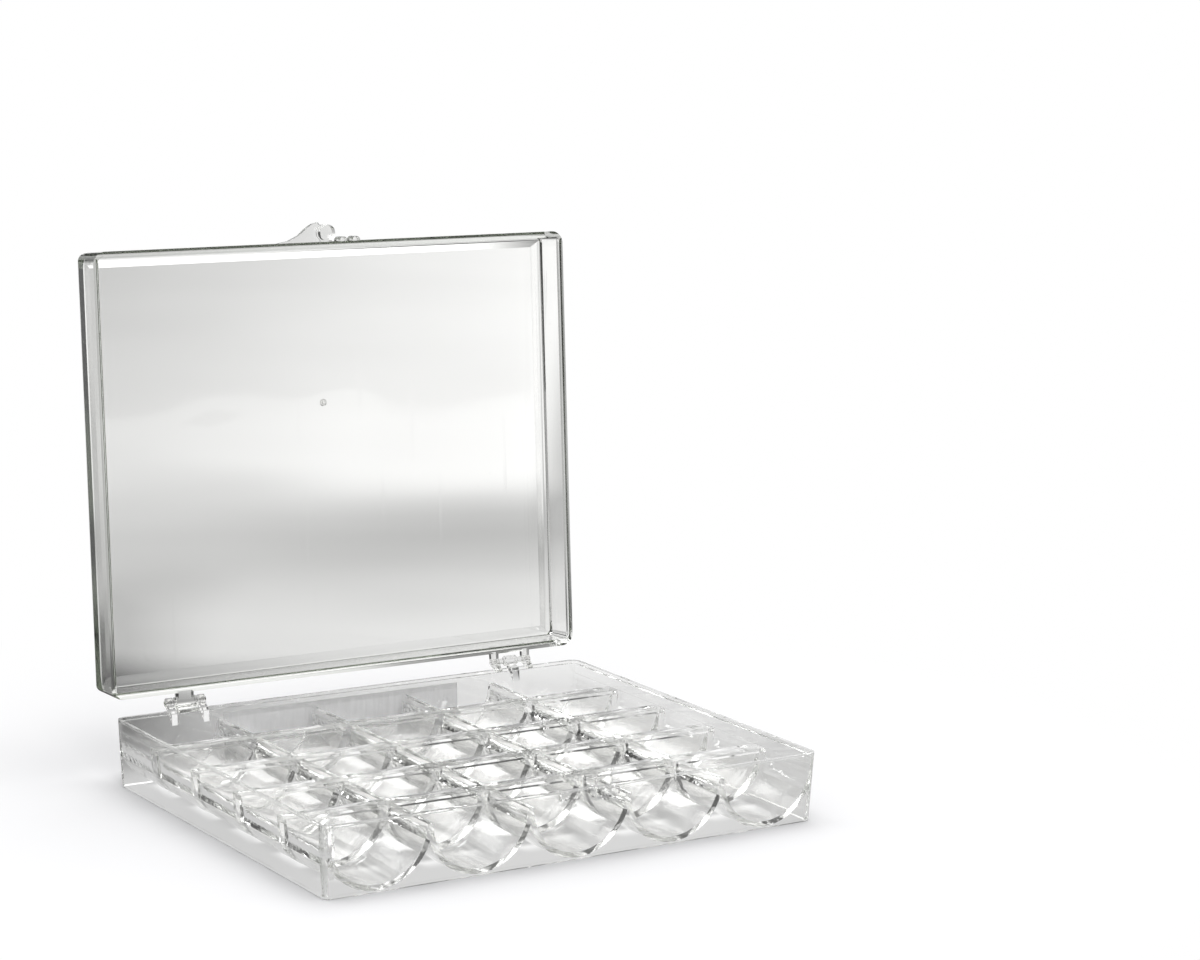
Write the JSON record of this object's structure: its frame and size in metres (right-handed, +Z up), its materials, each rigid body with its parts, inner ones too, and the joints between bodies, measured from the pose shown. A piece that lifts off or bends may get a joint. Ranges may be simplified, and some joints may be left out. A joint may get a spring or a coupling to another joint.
{
  "type": "embroidery thread box",
  "caption": "Clear hinged storage box with rows of trough-shaped compartments for thread, its lid standing open.",
  "frame": {"origin": "middle of the open box's footprint, on the table it stands on", "axes": "+X to the right seen from the front, +Y from the clasp towards the hinges, +Z up"},
  "size_m": [0.125, 0.1252, 0.1264],
  "materials": {
    "clear_base": "clear, polished",
    "clear_lid": "clear, polished",
    "paper": "matt paper"
  },
  "bodies": {
    "base": {"compartment_base": "clear_base", "paper_label": "paper"},
    "lid": {"lid": "clear_lid"}
  },
  "joints": [
    {"name": "lid_hinge", "type": "hinge", "parent": "base", "child": "lid", "pos_m": [0, 0.04486, 0.01715], "axis": [1, 0, 0], "range_deg": [0, 94.7]}
  ]
}
